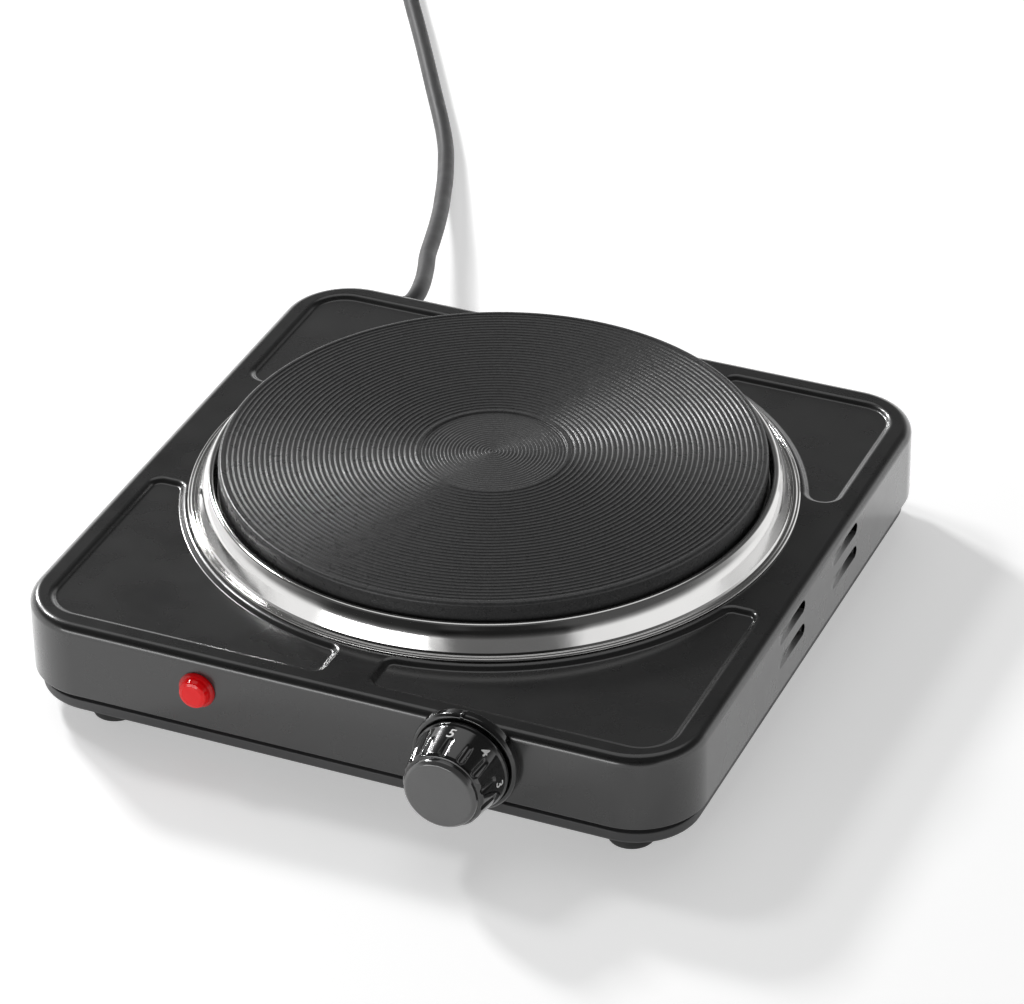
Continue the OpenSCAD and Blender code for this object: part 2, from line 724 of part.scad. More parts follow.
module earth_wire() color([0.35, 0.65, 0.2]) {
    core(1);
    tube(smooth(concat(from_terminal(1), [[-74, 30, 11], [-50, 40, 10], [0, 60, 10], [40, 76, 9.6],
        [52, 84, 9.4], [57.9, 87, 9.4]]), 4), wire_r);
}

module switched_wire() color([0.6, 0.6, 0.6]) {
    tube(smooth([[8, -78.1, 30.9], [8, -83, 30.8], [9, -90, 29.5], [12, -97, 28.2], [16.5, -100.5, knob_z + 0.1],
        [knob_x - 25.1, -100.8, knob_z]], 4), wire_r);
}

module lamp_wires() color([0.7, 0.7, 0.68]) {
    for (dx = [-1.2, 1.2]) tube(smooth([[lamp_x + dx, front + 10.2, lamp_z], [lamp_x + dx, front + 15, lamp_z],
        [lamp_x + 3 * dx, front + 22, 22], [lamp_x + 5 * dx, front + 30, 14],
        [lamp_x + 8 * dx, front + 38, 13]], 3), 0.8);
}

// ---- mains lead ----
module power_cord() color([0.06, 0.06, 0.06]) {
    tube(cord_route, cord_d / 2, 10);
}

module cord_coil() color([0.06, 0.06, 0.06]) {
    c = 2;
    a = coil_r - cord_d;
    b = coil_r + cord_d;
    translate([coil_spot[0], coil_spot[1], 0]) rotate_extrude($fn = fine) polygon([
        [a + c, 0], [b - c, 0], [b, c], [b, cord_d - 1], [b - cord_d / 2, coil_height - c / 2],
        [b - cord_d / 2 - 1, coil_height], [a + cord_d / 2 + 1, coil_height],
        [a + cord_d / 2, coil_height - c / 2], [a, cord_d - 1], [a, c]
    ]);
}

module cord_tail() color([0.06, 0.06, 0.06]) {
    tube(tail_route, cord_d / 2, 10);
}

// Straight earthed plug lying on its side, pins pointing away from the coil
module on_plug() {
    translate(tail_route[len(tail_route) - 1]) rotate([0, 0, plug_turn]) rotate([0, 90, 0]) children();
}

module plug_body() color([0.07, 0.07, 0.07]) {
    on_plug() difference() {
        rotate_extrude() polygon([
            [0, 0], [5.2, 0], [6.4, 8], [8.2, 14], [12, 21], [14.6, 27], [15.4, 31], [17.6, 33],
            [plug_r, 35], [plug_r, plug_len - 1], [plug_r - 1, plug_len], [0, plug_len]
        ]);
        for (a = [0, 180]) rotate([0, 0, a]) translate([-2.5, plug_r - 2.2, 32]) cube([5, 4, 20]);
        for (a = [90, 270]) rotate([0, 0, a]) translate([-3, plug_r - 3, 34]) cube([6, 5, 14]);
    }
}

module plug_pins() color([0.8, 0.8, 0.82]) {
    on_plug() {
        for (s = [-1, 1]) translate([s * 9.5, 0, 0]) {
            rod(pin_r, plug_len, plug_len + pin_len - pin_r);
            translate([0, 0, plug_len + pin_len - pin_r]) sphere(r = pin_r);
        }
        for (a = [0, 180]) rotate([0, 0, a]) translate([-2, plug_r - 2.2, 33]) cube([4, 1, plug_len - 33]);
    }
}

top_cover();
shell_brackets();
base_tray();
base_screws();
foot_front_left();
foot_front_right();
foot_rear_left();
foot_rear_right();
rating_label();
trim_ring();
cooking_plate();
heating_coils();
coil_insulation();
plate_cover();
centre_stud();
clamping_bridge();
stud_washer();
stud_nut();
heat_shield();
shield_nut();
plate_terminal();
plate_tabs();
thermal_cutoff();
thermostat_bracket();
thermostat_bushing();
thermostat_screws();
ceramic_spacers();
stack_rivet();
bimetal_strip();
contact_leaf_root();
contact_leaf();
moving_contact();
fixed_leaf();
fixed_contact();
control_shaft();
adjuster_pin();
knob();
knob_clip();
knob_bezel();
lamp_lens();
lamp_bulb();
lamp_retainer();
cord_bush();
cord_entry();
clamp_base();
cord_clamp();
clamp_screws();
mains_terminal();
terminal_screws();
earth_screw();
live_wire();
neutral_wire();
earth_wire();
switched_wire();
lamp_wires();
power_cord();
cord_coil();
cord_tail();
plug_body();
plug_pins();
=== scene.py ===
"""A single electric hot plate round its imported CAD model: sheet metal, casting, ring, knob, lamp and mains lead."""
import json
import math

import bmesh
import bpy
from mathutils import Matrix, Vector
from mathutils.geometry import tessellate_polygon


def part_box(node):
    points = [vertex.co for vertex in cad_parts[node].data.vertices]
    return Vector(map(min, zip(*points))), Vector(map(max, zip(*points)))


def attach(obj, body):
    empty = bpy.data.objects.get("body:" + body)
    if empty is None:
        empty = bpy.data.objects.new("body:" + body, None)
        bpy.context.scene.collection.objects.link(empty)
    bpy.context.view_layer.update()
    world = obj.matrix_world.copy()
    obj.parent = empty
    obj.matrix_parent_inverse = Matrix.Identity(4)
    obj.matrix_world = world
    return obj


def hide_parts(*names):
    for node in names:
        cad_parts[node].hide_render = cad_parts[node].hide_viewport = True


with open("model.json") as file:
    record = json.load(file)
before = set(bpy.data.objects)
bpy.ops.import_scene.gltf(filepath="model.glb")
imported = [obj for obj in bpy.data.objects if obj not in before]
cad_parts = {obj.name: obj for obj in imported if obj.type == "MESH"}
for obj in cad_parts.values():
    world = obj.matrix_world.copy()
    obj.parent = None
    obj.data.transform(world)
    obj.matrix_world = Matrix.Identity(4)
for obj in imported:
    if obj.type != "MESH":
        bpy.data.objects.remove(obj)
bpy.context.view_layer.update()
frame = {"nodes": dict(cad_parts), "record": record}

MM = 0.001
nodes = frame["nodes"]


# ---- camera ----
SENSOR_MM, LENS_MM = 36, 164.35
LENS_SHIFT = (-0.00765, 0.0024)
CLIP = (0.05, 30)


def make_camera(azimuth, elevation, roll, distance, target):
    """Looks at target from azimuth (0 is the front, growing to the right) and elevation, in degrees."""
    data = bpy.data.cameras.new("camera")
    data.sensor_width = SENSOR_MM
    data.lens = LENS_MM
    data.shift_x, data.shift_y = LENS_SHIFT
    data.clip_start, data.clip_end = CLIP
    camera = bpy.data.objects.new("camera", data)
    bpy.context.scene.collection.objects.link(camera)
    az, el, turn = (math.radians(a) for a in (azimuth, elevation, roll))
    back = Vector((math.sin(az) * math.cos(el), -math.cos(az) * math.cos(el), math.sin(el)))
    level = Vector((math.cos(az), math.sin(az), 0))
    right = math.cos(turn) * level + math.sin(turn) * back.cross(level)
    up = back.cross(right)
    turned = Matrix((right, up, back)).transposed().to_4x4()
    camera.matrix_world = Matrix.Translation(target + back * distance) @ turned
    bpy.context.scene.camera = camera


make_camera(azimuth=23.73, elevation=32.77, roll=-0.8607, distance=1.58631, target=Vector((0.00544, 0.019, 0.03)))

# ---- sizes taken from the frame, in millimetres ----
shell_low, shell_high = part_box("top_cover")
plate_low, plate_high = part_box("cooking_plate")
ring_low, ring_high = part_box("trim_ring")
bezel_low, bezel_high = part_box("knob_bezel")
lens_low, lens_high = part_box("lamp_lens")
base_low, base_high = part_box("base_tray")
knob_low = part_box("knob")[0]
bush_low, bush_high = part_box("cord_bush")
coil_low, coil_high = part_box("cord_coil")
half = shell_high.x / MM
top = shell_high.z / MM
hem = shell_low.z / MM
base_half = base_high.x / MM
base_bottom = base_low.z / MM
plate_r = (plate_high.x - plate_low.x) / 2 / MM
plate_y = (plate_high.y + plate_low.y) / 2 / MM
plate_top = plate_high.z / MM
ring_r = (ring_high.x - ring_low.x) / 2 / MM
front = shell_low.y / MM
knob_x = (bezel_low.x + bezel_high.x) / 2 / MM
knob_z = (bezel_low.z + bezel_high.z) / 2 / MM
knob_front = (shell_low.y - knob_low.y) / MM
lamp_x = (lens_low.x + lens_high.x) / 2 / MM
lamp_z = (lens_low.z + lens_high.z) / 2 / MM
cord_x = (bush_low.x + bush_high.x) / 2 / MM
cord_z = (bush_low.z + bush_high.z) / 2 / MM
# sizes of the pressed sheet metal that a box can't give
SHEET = 1.0
CORNER_R = 24
EDGE_R = 3.4
PANEL_INSET = 8.0
PANEL_R = 13
PANEL_DEPTH = 1.5
PANEL_TIP_R = 4
PANEL_RING_GAP = 1.2
KNOB_HOLE_R, LAMP_HOLE_R, CORD_HOLE_R, PLATE_HOLE_R = 4.1, 4.8, 5.2, 96
LOUVRE_Y, LOUVRE_Z = (-19, 31), (25, 34.2)
LOUVRE_L, LOUVRE_H = 25, 5.2
LOUVRE_SHALLOW, LOUVRE_DEEPER, LOUVRE_MOUTH = 0.2, 2.4, 1.2
# the base tray
STEP_Z = 10.2
RIM_H = 14
FOOT_HOLES, FOOT_HOLE_R = ((-87, -103), (96, -103), (-92, 103), (92, 103)), 4
SLOT_X, SLOT_Y = range(-60, 61, 15), (-40, 50)
SLOT_L, SLOT_W = 36, 4
BOSS_X, BOSS_Y = (-104, 104), (-72, 72)
BOSS_R, BOSS_BORE_R, BOSS_FLOOR = 6, 2.1, 2
# the casting's turned surface
GROOVE_PITCH, GROOVE_DEPTH = 1.8, 0.34
DISC_R, DISC_PITCH, DISC_DEPTH = 25, 1.25, 0.08


# ---- mesh building ----
class Skin:
    """Vertices in millimetres with their own normals, and faces, gathered into one mesh."""

    def __init__(self):
        self.points = []
        self.normals = []
        self.faces = []

    def add(self, point, normal=None):
        self.points.append(Vector(point))
        self.normals.append(None if normal is None else Vector(normal).normalized())
        return len(self.points) - 1

    def strip(self, a, b, closed=True, skip=()):
        """Quads between two equal rows of vertices."""
        for i in range(len(a) if closed else len(a) - 1):
            if i not in skip:
                j = (i + 1) % len(a)
                self.faces.append((a[i], a[j], b[j], b[i]))

    def rows(self, rows, closed=True, skip=()):
        for a, b in zip(rows, rows[1:]):
            self.strip(a, b, closed, skip)

    def fill(self, loops, facing):
        """Triangles over a flat outline with holes."""
        flat = [i for loop in loops for i in loop]
        for tri in tessellate_polygon([[self.points[i] for i in loop] for loop in loops]):
            a, b, c = (flat[t] for t in tri)
            normal = (self.points[b] - self.points[a]).cross(self.points[c] - self.points[a])
            if normal.length > 1e-9:
                self.faces.append((a, b, c) if normal.dot(Vector(facing)) > 0 else (a, c, b))

    def build(self, name, material, body="housing", place=None, replaces=()):
        mesh = bpy.data.meshes.new(name)
        mesh.from_pydata([p * MM for p in self.points], [], self.faces)
        mesh.validate()
        mesh.update()
        for polygon in mesh.polygons:
            polygon.use_smooth = True
        own = [n if n is not None else mesh.vertices[i].normal.copy() for i, n in enumerate(self.normals)]
        mesh.normals_split_custom_set_from_vertices(own)
        return finish_piece(name, mesh, material, body, place, replaces)


def finish_piece(name, data, material, body="housing", place=None, replaces=()):
    piece = bpy.data.objects.new(name, data)
    bpy.context.scene.collection.objects.link(piece)
    if place is not None:
        data.transform(place)
    data.materials.append(material)
    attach(piece, body)
    if replaces:
        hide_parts(*replaces)
    return piece


def fillet(corners, closed=False, arc_step=12.0):
    """Points and left-hand normals along a path of straight lines with round corners (x, y, radius)."""
    out = []
    count = len(corners)
    for i, corner in enumerate(corners):
        p = Vector(corner[:2])
        r = corner[2] if len(corner) > 2 else 0
        before = Vector(corners[i - 1][:2]) if closed or i > 0 else None
        after = Vector(corners[(i + 1) % count][:2]) if closed or i < count - 1 else None
        t_in = (p - before).normalized() if before is not None else (after - p).normalized()
        t_out = (after - p).normalized() if after is not None else t_in
        turn = math.atan2(t_in.x * t_out.y - t_in.y * t_out.x, t_in.dot(t_out))
        if r <= 0 or abs(turn) < 1e-4:
            mean = (t_in + t_out).normalized()
            out.append((p, Vector((-mean.y, mean.x))))
            continue
        reach = r * math.tan(abs(turn) / 2)
        steps = max(2, round(abs(math.degrees(turn)) / arc_step))
        side = 1 if turn > 0 else -1
        centre = p - t_in * reach + Vector((-t_in.y, t_in.x)) * r * side
        for k in range(steps + 1):
            a = turn * k / steps
            c, s = math.cos(a), math.sin(a)
            n = Vector((-t_in.y * c - t_in.x * s, t_in.x * c - t_in.y * s))
            out.append((centre - n * r * side, n))
    return out


def revolve(skin, section, segments, radius=None):
    """Turns a section of (radius, height) round local Z. Left of the section's direction is outside."""
    rows = []
    for k in range(segments):
        a = 2 * math.pi * k / segments
        c, s = math.cos(a), math.sin(a)
        row = []
        for p, n in section:
            r = p.x if radius is None else radius(p.x, p.y, a)
            normal = None if radius is not None else (n.x * c, n.x * s, n.y)
            row.append(skin.add((r * c, r * s, p.y), normal))
        rows.append(row)
    rows.append(rows[0])
    skin.rows(rows, closed=False)


def lathe(name, section, segments, material, place, body="housing", replaces=(), radius=None):
    """A turned piece. The ends of its section meet, or lie on the axis."""
    area = sum(p.cross(q) for (p, _), (q, _) in zip(section, section[1:] + section[:1]))
    if area > 0:
        section = [(p, -n) for p, n in reversed(section)]
    skin = Skin()
    revolve(skin, section, segments, radius)
    return skin.build(name, material, body, place, replaces)


# ---- materials ----
class Finish:
    """A Principled material whose colour, roughness and relief come from noise at the scale of the real surface."""

    def __init__(self, name, colour, rough, metal=0.0, ior=1.5, coat=0.0, coat_rough=0.1):
        self.material = bpy.data.materials.new(name)
        self.material.use_nodes = True
        self.tree = self.material.node_tree
        self.shader = self.tree.nodes["Principled BSDF"]
        self.set("Base Color", (*colour, 1))
        self.set("Roughness", rough)
        self.set("Metallic", metal)
        self.set("IOR", ior)
        self.set("Coat Weight", coat)
        self.set("Coat Roughness", coat_rough)
        self.colour = colour
        self.where = self.node("ShaderNodeTexCoord").outputs["Object"]

    def set(self, socket, value):
        self.shader.inputs[socket].default_value = value

    def node(self, kind, **settings):
        made = self.tree.nodes.new(kind)
        for key, value in settings.items():
            setattr(made, key, value)
        return made

    def link(self, a, b):
        self.tree.links.new(a, b)

    def noise(self, scale, detail=4.0, stretch=(1, 1, 1)):
        """Noise from 0 to 1, about scale features a metre, stretched along an axis."""
        mapping = self.node("ShaderNodeMapping")
        mapping.inputs["Scale"].default_value = stretch
        self.link(self.where, mapping.inputs["Vector"])
        made = self.node("ShaderNodeTexNoise")
        made.inputs["Scale"].default_value = scale
        made.inputs["Detail"].default_value = detail
        self.link(mapping.outputs["Vector"], made.inputs["Vector"])
        return made.outputs["Fac"]

    def along(self, axis):
        """The place along X, Y or Z, in metres."""
        split = self.node("ShaderNodeSeparateXYZ")
        self.link(self.where, split.inputs[0])
        return split.outputs[axis]

    def remap(self, value, low, high, start=0.3, end=0.7):
        """Low where value is start or less, high where it is end or more."""
        made = self.node("ShaderNodeMapRange")
        self.link(value, made.inputs["Value"])
        for socket, number in (("From Min", start), ("From Max", end), ("To Min", low), ("To Max", high)):
            made.inputs[socket].default_value = number
        return made.outputs["Result"]

    def math(self, operation, a, b):
        made = self.node("ShaderNodeMath", operation=operation)
        for i, value in enumerate((a, b)):
            if isinstance(value, (int, float)):
                made.inputs[i].default_value = value
            else:
                self.link(value, made.inputs[i])
        return made.outputs["Value"]

    def tint(self, value, other):
        """Mixes the base colour with another one by value."""
        mix = self.node("ShaderNodeMix", data_type="RGBA")
        self.link(value, mix.inputs["Factor"])
        mix.inputs["A"].default_value = (*self.colour, 1)
        mix.inputs["B"].default_value = (*other, 1)
        self.link(mix.outputs["Result"], self.shader.inputs["Base Color"])

    def roughness(self, value, low, high):
        self.link(self.remap(value, low, high), self.shader.inputs["Roughness"])

    def relief(self, value, depth):
        """Bump of that depth in millimetres."""
        bump = self.node("ShaderNodeBump")
        bump.inputs["Distance"].default_value = depth * MM
        bump.inputs["Strength"].default_value = 1.0
        self.link(value, bump.inputs["Height"])
        self.link(bump.outputs["Normal"], self.shader.inputs["Normal"])


def black_paint():
    """Gloss black, with painted light: a little greyer on the walls and the sunk panels than on the top."""
    f = Finish("black_paint", (0.004, 0.004, 0.004), 0.28, coat=0.82, coat_rough=0.12)
    # painted light: a lighter grey below the top's level, on the walls and sunk panels, mottled by slow noise
    painted_light_below_top = f.remap(f.along("Z"), 1, 0, (top - 1.5) * MM, (top - 0.1) * MM)
    f.tint(f.math("MULTIPLY", painted_light_below_top, f.remap(f.noise(22), 0.7, 1)), (0.016, 0.016, 0.016))
    f.roughness(f.noise(60, 6), 0.25, 0.31)
    f.relief(f.noise(1400, 3), 0.012)
    return f.material


def base_paint():
    """Satin dark grey, lighter than the housing's black as painted light for the floor the tray reflects."""
    # painted light: the tray's grey is raised to stand for the floor's reflection
    f = Finish("base_paint", (0.038, 0.038, 0.039), 0.4)
    f.tint(f.remap(f.noise(30), 0, 1), (0.048, 0.048, 0.049))
    f.roughness(f.noise(80, 6), 0.40, 0.52)
    f.relief(f.noise(1800, 3), 0.02)
    return f.material


def stainless():
    """Polished sheet with a slow waviness and a fine grain."""
    f = Finish("stainless", (0.72, 0.715, 0.705), 0.09, metal=1.0)
    f.tint(f.remap(f.noise(14), 0, 1), (0.66, 0.655, 0.65))
    f.roughness(f.noise(45, 8), 0.07, 0.15)
    f.relief(f.math("ADD", f.noise(55, 2), f.math("MULTIPLY", f.noise(420, 5), 0.05)), 0.12)
    return f.material


def cast_iron():
    """Dark grey with the fine grain of a casting."""
    f = Finish("cast_iron", (0.043, 0.043, 0.0435), 0.3, ior=1.38)
    grain = f.noise(1200, 3)
    f.tint(f.remap(grain, 0, 1), (0.058, 0.058, 0.0585))
    f.roughness(f.noise(300, 6), 0.25, 0.34)
    f.relief(grain, 0.08)
    return f.material


def knob_plastic():
    """Gloss black, with the cap's front painted dark grey: painted light for the brighter reflection on it."""
    f = Finish("black_plastic", (0.006, 0.006, 0.006), 0.12, coat=0.8, coat_rough=0.04)
    # painted light: the front 1.2 mm of the cap lighter grey, mottled by noise
    cap = f.remap(f.along("Y"), 1, 0, (front - knob_front + 1.2) * MM, (front - knob_front + 1.6) * MM)
    f.tint(f.math("MULTIPLY", cap, f.remap(f.noise(60), 0.8, 1)), (0.075, 0.075, 0.075))
    f.roughness(f.noise(120, 5), 0.1, 0.15)
    f.relief(f.noise(900, 4), 0.003)
    return f.material


def plastic(name, colour, rough, coat=0.0, grain=900, depth=0.01):
    f = Finish(name, colour, rough, coat=coat, coat_rough=0.04)
    f.tint(f.remap(f.noise(40), 0, 1), tuple(min(1, c * 1.25 + 0.002) for c in colour))
    f.roughness(f.noise(120, 5), rough * 0.85, rough * 1.25)
    f.relief(f.noise(grain, 4), depth)
    return f.material


def metal(name, colour, rough, stretch=(1, 1, 1), depth=0.01):
    f = Finish(name, colour, rough, metal=1.0)
    f.tint(f.remap(f.noise(50, 6), 0, 1), tuple(c * 0.8 for c in colour))
    f.roughness(f.noise(300, 6, stretch), rough * 0.75, rough * 1.35)
    f.relief(f.noise(900, 4, stretch), depth)
    return f.material


def red_lens():
    """Clear red, with painted shade: a deeper red on the flange, where it is thin in front of the dark wall."""
    f = Finish("red_lens", (0.8, 0.002, 0.004), 0.06, ior=1.36, coat=0.15, coat_rough=0.02)
    f.set("Transmission Weight", 0.25)
    f.set("Emission Color", (1.0, 0.005, 0.01, 1))
    f.set("Emission Strength", 0.11)
    # painted shade: darker red on the flange next to the wall
    flange = f.remap(f.along("Y"), 0, 1, (front - 1.9) * MM, (front - 1.1) * MM)
    f.tint(f.math("MULTIPLY", flange, f.remap(f.noise(500), 0.8, 1)), (0.3, 0.002, 0.003))
    f.roughness(f.noise(700), 0.04, 0.1)
    return f.material


def clear_bulb():
    f = Finish("clear_bulb", (0.95, 0.75, 0.6), 0.05, ior=1.45)
    f.set("Transmission Weight", 0.9)
    f.roughness(f.noise(600), 0.03, 0.1)
    return f.material


def white_ink():
    f = Finish("white_ink", (0.95, 0.95, 0.94), 0.5)
    f.tint(f.remap(f.noise(900), 0, 1), (0.88, 0.88, 0.87))
    return f.material


FINISHES = {
    "black_steel": black_paint(),
    "base_steel": base_paint(),
    "zinc_steel": metal("zinc_steel", (0.62, 0.62, 0.64), 0.35),
    "rubber": plastic("rubber", (0.02, 0.02, 0.02), 0.7, grain=1500, depth=0.03),
    "label": metal("label", (0.7, 0.7, 0.72), 0.45, (1, 12, 1)),
    "stainless": stainless(),
    "cast_iron": cast_iron(),
    "resistance_wire": metal("resistance_wire", (0.35, 0.3, 0.25), 0.5),
    "insulation": plastic("insulation", (0.8, 0.79, 0.74), 0.9, grain=700, depth=0.06),
    "aluminium": metal("aluminium", (0.8, 0.8, 0.82), 0.3, (10, 1, 1)),
    "ceramic": plastic("ceramic", (0.85, 0.84, 0.8), 0.55, grain=1200, depth=0.02),
    "brass": metal("brass", (0.75, 0.58, 0.28), 0.28),
    "silver": metal("silver", (0.85, 0.85, 0.87), 0.2),
    "cutoff_case": plastic("cutoff_case", (0.05, 0.05, 0.05), 0.35),
    "black_plastic": knob_plastic(),
    "red_lens": red_lens(),
    "neon": clear_bulb(),
    "soft_black": plastic("soft_black", (0.018, 0.018, 0.019), 0.42, grain=1400, depth=0.02),
    "white_plastic": plastic("white_plastic", (0.8, 0.8, 0.78), 0.4),
    "pins": metal("pins", (0.75, 0.75, 0.76), 0.18),
    "wire_brown": plastic("wire_brown", (0.2, 0.08, 0.03), 0.35),
    "wire_blue": plastic("wire_blue", (0.04, 0.12, 0.4), 0.35),
    "wire_green": plastic("wire_green", (0.25, 0.45, 0.04), 0.35),
    "wire_white": plastic("wire_white", (0.7, 0.7, 0.68), 0.8, grain=2500, depth=0.05),
}
INK = white_ink()
for row in frame["record"]["subparts"]:
    node = nodes[row["node"]]
    node.data.materials.clear()
    node.data.materials.append(FINISHES[row["material_slot"]])

# ---- mains lead ----
CORD_D = 6.5
COIL_R = 36
COIL_TURNS, POINTS_A_TURN = 2.25, 30
# from the bush over the table to the coil
route = [
    (-92, 140.6, 20.5), (-92, 148, 20.5), (-94.8, 160, 19.1), (-99.5, 173.5, 16.9), (-104.8, 187, 14.7),
    (-109.4, 201.5, 12.6), (-114, 216, 10.7), (-119, 230.5, 8.8), (-124.3, 244.5, 7), (-129.5, 258, 5.6),
    (-135, 271, 4.5), (-140.8, 284, 3.7), (-147, 296, 3.3), (-153.5, 307.5, 3.25), (-166.5, 329.5, 3.25),
    (-180, 352.5, 3.25), (-194, 376, 3.25), (-208, 399, 3.25), (-221.5, 421.5, 3.25), (-234, 442.5, 3.25),
    (-244, 462.5, 3.25),
]
# from the coil up to the plug
tail = [
    (-222.2, 511.1, 8.9), (-208, 517.2, 9.6), (-195, 522.8, 11.6), (-184, 527.6, 14.4),
    (-174, 531.9, 17), (-164, 536.2, 18.5), (-157, 539.2, 18.6), (-152, 541.4, 18.6),
]


def ease(t, start, end):
    """Smooth step from 0 at start to 1 at end."""
    u = min(1, max(0, (t - start) / (end - start)))
    return u * u * (3 - 2 * u)


def coil_points():
    """Clockwise turns: outside, then inside, then up on both, with a low hump where they cross."""
    centre = (coil_low + coil_high) / 2 / MM
    first = Vector(route[-1]) - centre
    start = math.atan2(first.y, first.x)
    for i in range(1, round(COIL_TURNS * POINTS_A_TURN)):
        t = i / POINTS_A_TURN
        r = COIL_R + CORD_D / 2 - CORD_D * ease(t, 0.8, 1.0) + CORD_D / 2 * ease(t, 1.55, 1.8)
        z = CORD_D / 2 + 5.65 * ease(t, 1.5, 1.8) + 0.9 * ease(t, 1.76, 1.88) * (1 - ease(t, 1.94, 2.1))
        a = start - 2 * math.pi * t
        yield Vector((centre.x + r * math.cos(a), centre.y + r * math.sin(a), z))


def spline(points, step=2.5):
    """Evenly spaced points on a centripetal Catmull-Rom curve."""
    p = [Vector(q) for q in points]
    p = [2 * p[0] - p[1], *p, 2 * p[-1] - p[-2]]
    out = []
    for i in range(1, len(p) - 2):
        a, b, c, d = p[i - 1:i + 3]
        t0 = 0
        t1 = t0 + math.sqrt((b - a).length)
        t2 = t1 + math.sqrt((c - b).length)
        t3 = t2 + math.sqrt((d - c).length)
        steps = max(1, round((c - b).length / step))
        for k in range(steps):
            t = t1 + (t2 - t1) * k / steps
            ab = a * (t1 - t) / (t1 - t0) + b * (t - t0) / (t1 - t0)
            bc = b * (t2 - t) / (t2 - t1) + c * (t - t1) / (t2 - t1)
            cd = c * (t3 - t) / (t3 - t2) + d * (t - t2) / (t3 - t2)
            abc = ab * (t2 - t) / (t2 - t0) + bc * (t - t0) / (t2 - t0)
            bcd = bc * (t3 - t) / (t3 - t1) + cd * (t - t1) / (t3 - t1)
            out.append(abc * (t2 - t) / (t2 - t1) + bcd * (t - t1) / (t2 - t1))
    out.append(p[-2])
    return out


def make_cord():
    path = spline(route + list(coil_points()) + tail)
    curve = bpy.data.curves.new("mains_lead", "CURVE")
    curve.dimensions = "3D"
    curve.bevel_depth = CORD_D / 2 * MM
    curve.bevel_resolution = 6
    curve.use_fill_caps = True
    line = curve.splines.new("POLY")
    line.points.add(len(path) - 1)
    for point, p in zip(line.points, path):
        point.co = (*(p * MM), 1)
    line.use_smooth = True
    lead = finish_piece("mains_lead", curve, FINISHES["soft_black"],
                        replaces=["power_cord", "cord_coil", "cord_tail"])


make_cord()


# ---- pressed steel housing ----
def rounded_square(half_size, r, step=6.0):
    """Outline as points with outward normals, counter-clockwise from the right side."""
    corners = [(half_size, -half_size, r), (half_size, half_size, r), (-half_size, half_size, r),
               (-half_size, -half_size, r)]
    return [(p, -n) for p, n in fillet(corners, closed=True, arc_step=step)]


def panel_outline(side, end):
    """Outline of one pressed panel, with outward normals: side -1 left or 1 right, end -1 front or 1 back."""
    keep_clear = ring_r + PANEL_RING_GAP
    edge = half - PANEL_INSET
    outer_r, tip_r = PANEL_R, PANEL_TIP_R
    near_x = 8
    near_y, near_r = (35.5, 4.5) if end < 0 else (34, 6.4)

    pts = []

    def put(centre, radius, start, stop, step=0.35, inward=False):
        """An arc from start to stop, in degrees, round centre."""
        a0, a1 = math.radians(start), math.radians(stop)
        n = max(2, round(abs(a1 - a0) * radius / step))
        for i in range(n + 1):
            a = a0 + (a1 - a0) * i / n
            d = Vector((math.cos(a), math.sin(a)))
            pts.append((Vector(centre) + d * radius, -d if inward else d))

    # worked out round the plate's centre as if the panel were at the right and the back, then mirrored
    cy = near_y + near_r
    c1 = Vector((math.sqrt((keep_clear + near_r) ** 2 - cy ** 2), cy))
    grown = keep_clear + tip_r
    edge_y = edge - end * plate_y
    if end > 0:
        c2 = Vector((math.sqrt(grown ** 2 - (edge_y - tip_r) ** 2), edge_y - tip_r))
    else:
        c2 = Vector((near_x + tip_r, math.sqrt(grown ** 2 - (near_x + tip_r) ** 2)))
    a1 = math.degrees(math.atan2(c1.y, c1.x))
    a2 = math.degrees(math.atan2(c2.y, c2.x))
    put((edge - near_r, cy), near_r, -90, 0)
    put((edge - outer_r, edge_y - outer_r), outer_r, 0, 90, 1.0)
    if end < 0:
        put((near_x + tip_r, edge_y - tip_r), tip_r, 90, 180)
        put(c2, tip_r, 180, 180 + a2)
    else:
        put(c2, tip_r, 90, 180 + a2)
    put((0, 0), keep_clear, a2, a1, 2.0, inward=True)
    put(c1, near_r, 180 + a1, 270)
    out = []
    for p, n in pts:
        if out and (p - out[-1][0]).length < 0.02:
            continue
        out.append((p, n))
    out = [(Vector((side * p.x, plate_y + end * p.y)), Vector((side * n.x, end * n.y))) for p, n in out]
    return out if side * end > 0 else out[::-1]


def sweep(skin, outline, section, place):
    """One row of vertices per section point; the section is (distance outwards, height)."""
    rows = []
    for q, m in section:
        rows.append([skin.add(place(p + n * q.x, q.y), turn_normal(place, n * m.x, m.y)) for p, n in outline])
    return rows


def turn_normal(place, flat, up):
    """The direction that place gives to (flat, up)."""
    return place(Vector(flat), up) - place(Vector((0, 0)), 0)


def on_top(p, z):
    """Places an outline drawn from above."""
    return Vector((p.x, p.y, z))


def wall_place(axis, sign):
    """Places an outline drawn on a side wall: (along, height) and the distance outwards."""
    def place(p, out):
        if axis == "x":
            return Vector((sign * (half + out), p.x, p.y))
        return Vector((p.x, sign * (half + out), p.y))
    return place


def stadium(y, z, length, height):
    """Outline of a slot with round ends."""
    r = height / 2
    corners = [(y - length / 2, z - r, r * 0.999), (y + length / 2, z - r, r * 0.999),
               (y + length / 2, z + r, r * 0.999), (y - length / 2, z + r, r * 0.999)]
    return [(p, -n) for p, n in fillet(corners, closed=True, arc_step=15)]


def circle(x, z, r, steps=48):
    return [(Vector((x + r * math.cos(a), z + r * math.sin(a))), Vector((math.cos(a), math.sin(a))))
            for a in (2 * math.pi * i / steps for i in range(steps))]


